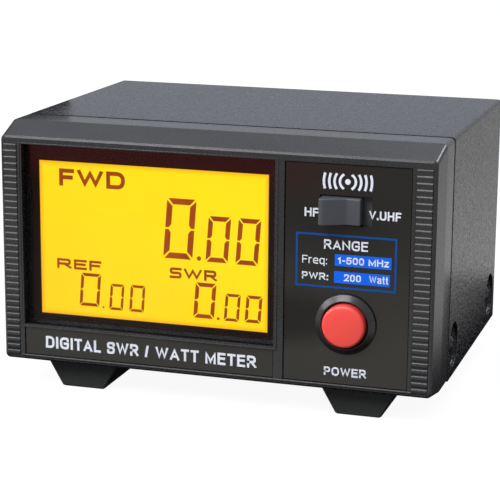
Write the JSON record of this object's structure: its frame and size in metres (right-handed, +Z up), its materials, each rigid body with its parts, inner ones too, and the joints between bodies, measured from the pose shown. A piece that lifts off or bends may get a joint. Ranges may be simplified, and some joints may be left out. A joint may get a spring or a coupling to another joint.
{
  "type": "swr meter",
  "caption": "Desktop standing-wave-ratio and power meter for a radio station, with a lit digital display, band slide switch, power push switch and rear coaxial sockets.",
  "frame": {"origin": "bottom centre of the object's box, on the surface it stands on", "axes": "+X to the right as the user faces it, -Y towards the user (front face), +Z up"},
  "size_m": [0.155, 0.1362, 0.0948],
  "materials": {
    "backlight": "translucent light guide",
    "black_component": "moulded",
    "black_plastic": "satin moulded",
    "black_steel": "blackened",
    "circuit_board": "solder mask",
    "clear_lens": "clear acrylic",
    "display_glass": "lit display",
    "ferrite": "sintered ferrite",
    "foot_plastic": "matte moulded",
    "gold_brass": "gold plated",
    "insulator": "fluoropolymer",
    "knob_plastic": "satin moulded",
    "nickel": "nickel plated",
    "panel_gloss": "gloss, printed",
    "powder_coat": "fine textured powder coat",
    "red_plastic": "satin moulded",
    "ribbon_grey": "flat cable",
    "spring_steel": "drawn wire",
    "switch_gloss": "gloss moulded",
    "tinned_steel": "tinned sheet",
    "zinc_steel": "zinc plated"
  },
  "bodies": {
    "case": {"backlight": "backlight", "band_switch_body": "black_plastic", "bezel_screw_bottom_left": "zinc_steel", "bezel_screw_bottom_right": "zinc_steel", "bezel_screw_top_left": "zinc_steel", "bezel_screw_top_right": "zinc_steel", "chassis": "powder_coat", "control_panel": "panel_gloss", "cover_screw_front_left": "black_steel", "cover_screw_front_right": "black_steel", "cover_screw_rear_left": "black_steel", "cover_screw_rear_right": "black_steel", "display_board": "circuit_board", "display_glass": "display_glass", "display_holder": "black_plastic", "display_lens": "clear_lens", "foot_front_left": "foot_plastic", "foot_front_right": "foot_plastic", "foot_rear_left": "foot_plastic", "foot_rear_right": "foot_plastic", "foot_screw_front_left": "zinc_steel", "foot_screw_front_right": "zinc_steel", "foot_screw_rear_left": "zinc_steel", "foot_screw_rear_right": "zinc_steel", "front_bezel": "black_plastic", "hf_antenna_contact": "gold_brass", "hf_antenna_insulator": "insulator", "hf_antenna_socket": "nickel", "hf_coupler_box": "tinned_steel", "hf_through_line": "gold_brass", "hf_toroid": "ferrite", "hf_transmitter_contact": "gold_brass", "hf_transmitter_insulator": "insulator", "hf_transmitter_socket": "nickel", "main_board": "circuit_board", "microcontroller": "black_component", "power_button_spring": "spring_steel", "power_jack_body": "black_component", "power_jack_nut": "nickel", "power_jack_pin": "nickel", "power_switch_body": "switch_gloss", "power_switch_nut": "nickel", "ribbon_cable": "ribbon_grey", "standoff_front_left": "nickel", "standoff_front_right": "nickel", "standoff_rear_left": "nickel", "standoff_rear_right": "nickel", "title_plate": "panel_gloss", "top_cover": "powder_coat", "voltage_regulator": "black_component", "vuhf_antenna_contact": "gold_brass", "vuhf_antenna_insulator": "insulator", "vuhf_antenna_socket": "nickel", "vuhf_coupler_box": "tinned_steel", "vuhf_through_line": "gold_brass", "vuhf_transmitter_contact": "gold_brass", "vuhf_transmitter_insulator": "insulator", "vuhf_transmitter_socket": "nickel"},
    "band_knob": {"band_knob": "knob_plastic"},
    "power_button": {"power_button": "red_plastic"}
  },
  "joints": [
    {"name": "band_switch_slide", "type": "slide", "parent": "case", "child": "band_knob", "axis": [1, 0, 0], "range_m": [0, 0.003]},
    {"name": "power_button_press", "type": "slide", "parent": "case", "child": "power_button", "axis": [0, 1, 0], "range_m": [0, 0.0025], "stiffness_N_per_m": 300, "springref_m": -0.001, "deforming": ["power_button_spring"]}
  ]
}
